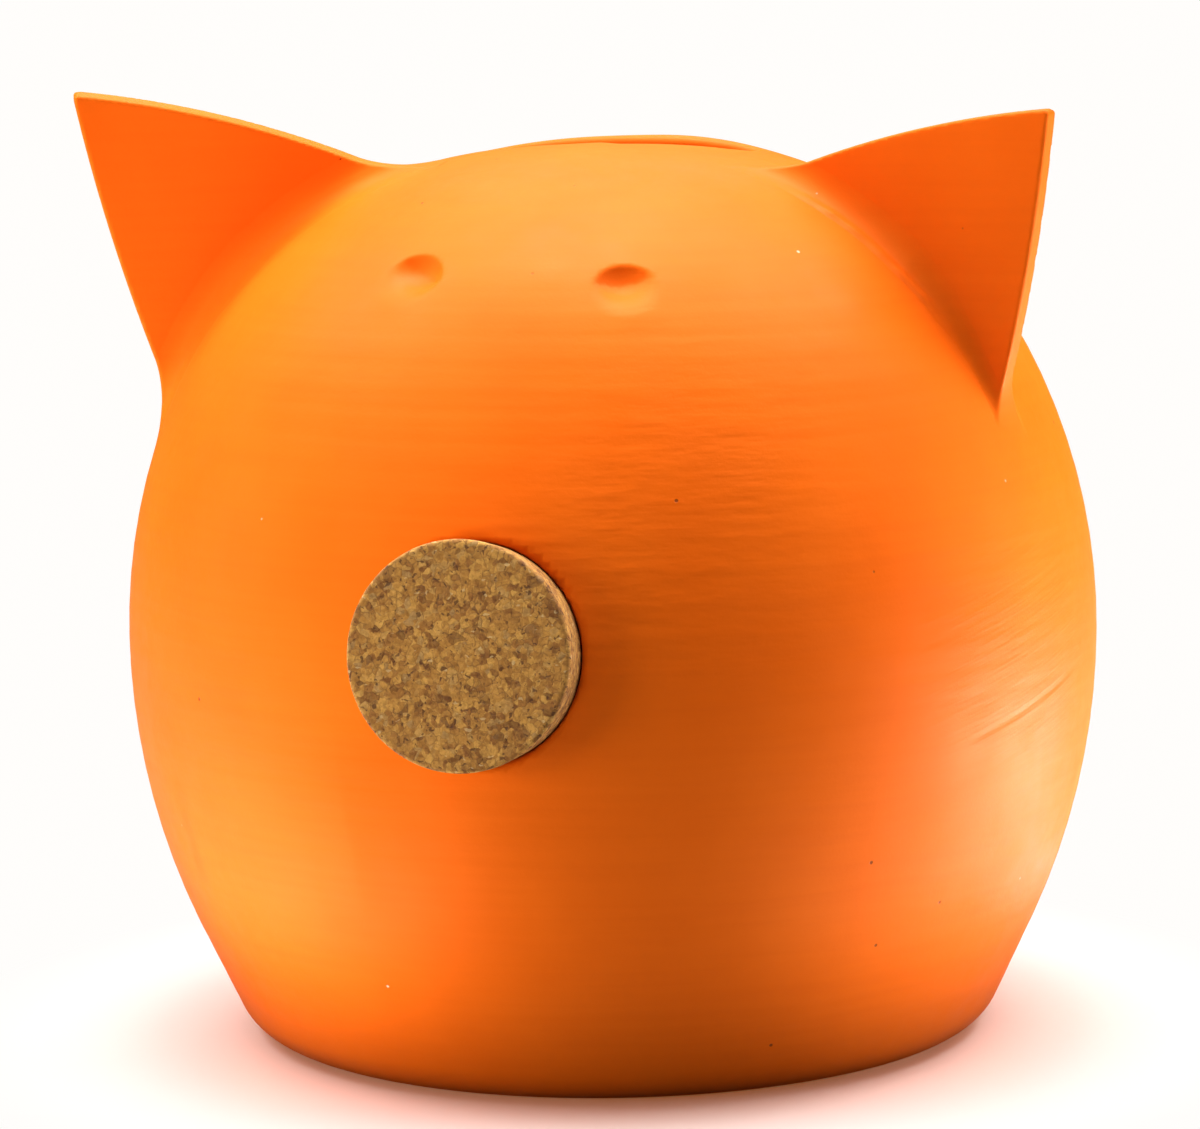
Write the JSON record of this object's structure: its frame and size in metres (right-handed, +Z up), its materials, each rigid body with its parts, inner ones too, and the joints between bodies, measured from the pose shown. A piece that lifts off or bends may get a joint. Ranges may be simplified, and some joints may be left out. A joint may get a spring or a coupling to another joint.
{
  "type": "piggy bank",
  "caption": "Hollow clay piggy bank with slab ears, pressed eyes, a coin slot on top, a flat base and a tapered cork stopper as its snout, which pulls out to empty it.",
  "frame": {"origin": "centre of the flat base", "axes": "+Z up, -Y the way the snout and eyes face, +X the pig's left"},
  "size_m": [0.16, 0.1671, 0.1564],
  "materials": {
    "clay": "matte orange colour over fired clay",
    "cork": "pressed cork granules"
  },
  "bodies": {
    "bank": {"pot": "clay", "ear_left": "clay", "ear_right": "clay", "ear_left_coil": "clay", "ear_right_coil": "clay"},
    "stopper": {"snout_stopper": "cork"}
  },
  "joints": [
    {"name": "stopper_slide", "type": "slide", "parent": "bank", "child": "stopper", "axis": [0, -0.9925, 0.1219], "range_m": [0, 0.06]}
  ]
}
